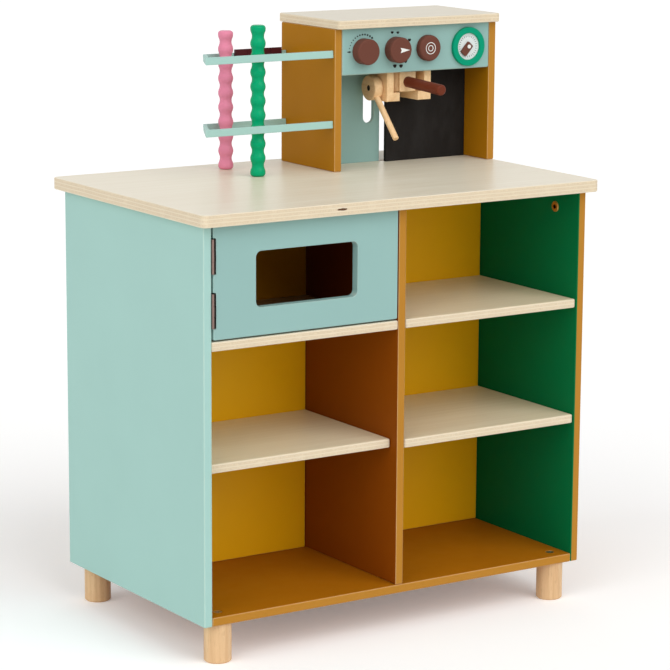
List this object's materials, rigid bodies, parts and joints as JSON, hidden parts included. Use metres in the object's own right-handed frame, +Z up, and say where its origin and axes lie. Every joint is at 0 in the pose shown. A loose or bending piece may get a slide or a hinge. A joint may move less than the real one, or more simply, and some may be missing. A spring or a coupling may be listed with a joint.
{
  "type": "toy coffee bar",
  "caption": "Play coffee bar: open two-sided cabinet with oven door and shelves, a worktop with a wooden espresso machine, knobs, gauge, portafilter, wand, hatch and straw racks.",
  "frame": {"origin": "on the floor under the middle of the worktop", "axes": "+Z up, -Y towards the side with the oven door, +X towards the end with the espresso machine"},
  "size_m": [0.62, 0.4, 0.794],
  "materials": {
    "mint_paint": "satin painted board",
    "ochre_paint": "satin painted board",
    "green_paint": "satin painted board, ochre edges and outer face",
    "yellow_paint": "satin painted board",
    "birch_plywood": "clear lacquer, layered edges",
    "beech": "clear lacquer",
    "brown_paint": "satin paint",
    "chalkboard_paint": "matte paint",
    "gauge_green": "satin paint",
    "white_paint": "satin paint",
    "pink_paint": "gloss paint",
    "green_straw_paint": "gloss paint",
    "steel": "plated",
    "bronze": "bronzed",
    "catch_plastic": "moulded"
  },
  "bodies": {
    "cabinet": {"left_side_panel": "mint_paint", "control_fascia": "mint_paint", "upper_rack": "mint_paint", "lower_rack": "mint_paint", "divider_panel": "ochre_paint", "bottom_panel": "ochre_paint", "housing_left_panel": "ochre_paint", "housing_right_panel": "ochre_paint", "right_side_panel": "green_paint", "left_back_panel": "yellow_paint", "right_back_panel": "yellow_paint", "worktop": "birch_plywood", "housing_top": "birch_plywood", "oven_shelf": "birch_plywood", "left_shelf": "birch_plywood", "right_lower_shelf": "birch_plywood", "right_upper_shelf": "birch_plywood", "foot_front_left": "beech", "foot_front_right": "beech", "foot_rear_left": "beech", "foot_rear_right": "beech", "left_group_rail": "beech", "right_group_rail": "beech", "group_plate": "beech", "rack_strip": "brown_paint", "chalkboard": "chalkboard_paint", "gauge_ring": "gauge_green", "gauge_dial": "white_paint", "foot_bolts": "steel", "shelf_pins": "steel", "hinge_panel_leaves": "steel", "hinge_pins": "steel", "gauge_pin": "steel", "wand_screw": "steel", "rack_screws": "steel", "side_connector": "bronze", "door_catch": "catch_plastic"},
    "oven_door": {"oven_door": "mint_paint", "hinge_door_leaves": "steel", "catch_plate": "steel"},
    "steam_knob": {"steam_knob": "brown_paint", "steam_knob_bolt": "steel"},
    "selector_knob": {"selector_knob": "brown_paint", "selector_knob_bolt": "steel"},
    "power_knob": {"power_knob": "brown_paint", "power_knob_bolt": "steel"},
    "gauge_pointer": {"gauge_pointer": "brown_paint"},
    "steam_wand": {"wand_disc": "beech", "wand_stick": "beech"},
    "portafilter": {"portafilter_head": "beech", "portafilter_handle": "brown_paint"},
    "service_hatch": {"service_hatch": "mint_paint"},
    "pink_straw": {"pink_straw": "pink_paint"},
    "green_straw": {"green_straw": "green_straw_paint"}
  },
  "joints": [
    {"name": "oven_door_hinge", "type": "hinge", "parent": "cabinet", "child": "oven_door", "pos_m": [-0.28675, -0.1838, 0.4972], "axis": [0, 0, -1], "range_deg": [0, 170]},
    {"name": "steam_knob_turn", "type": "hinge", "parent": "cabinet", "child": "steam_knob", "pos_m": [0.086, 0.042, 0.7501], "axis": [0, -1, 0], "continuous": true},
    {"name": "selector_knob_turn", "type": "hinge", "parent": "cabinet", "child": "selector_knob", "pos_m": [0.139, 0.042, 0.7501], "axis": [0, -1, 0], "continuous": true},
    {"name": "power_knob_turn", "type": "hinge", "parent": "cabinet", "child": "power_knob", "pos_m": [0.192, 0.042, 0.7501], "axis": [0, -1, 0], "continuous": true},
    {"name": "gauge_pointer_turn", "type": "hinge", "parent": "cabinet", "child": "gauge_pointer", "pos_m": [0.2606, 0.042, 0.7489], "axis": [0, -1, 0], "continuous": true},
    {"name": "steam_wand_swing", "type": "hinge", "parent": "cabinet", "child": "steam_wand", "pos_m": [0.12695, 0.0798, 0.6946], "axis": [-1, 0, 0], "range_deg": [-50, 60]},
    {"name": "portafilter_slide", "type": "slide", "parent": "cabinet", "child": "portafilter", "axis": [0, -1, 0], "range_m": [0, 0.045]},
    {"name": "service_hatch_slide", "type": "slide", "parent": "cabinet", "child": "service_hatch", "axis": [1, 0, 0], "range_m": [0, 0.106]},
    {"name": "pink_straw_lift", "type": "slide", "parent": "cabinet", "child": "pink_straw", "axis": [0, 0, 1], "range_m": [0, 0.17]},
    {"name": "green_straw_lift", "type": "slide", "parent": "cabinet", "child": "green_straw", "axis": [0, 0, 1], "range_m": [0, 0.17]}
  ]
}
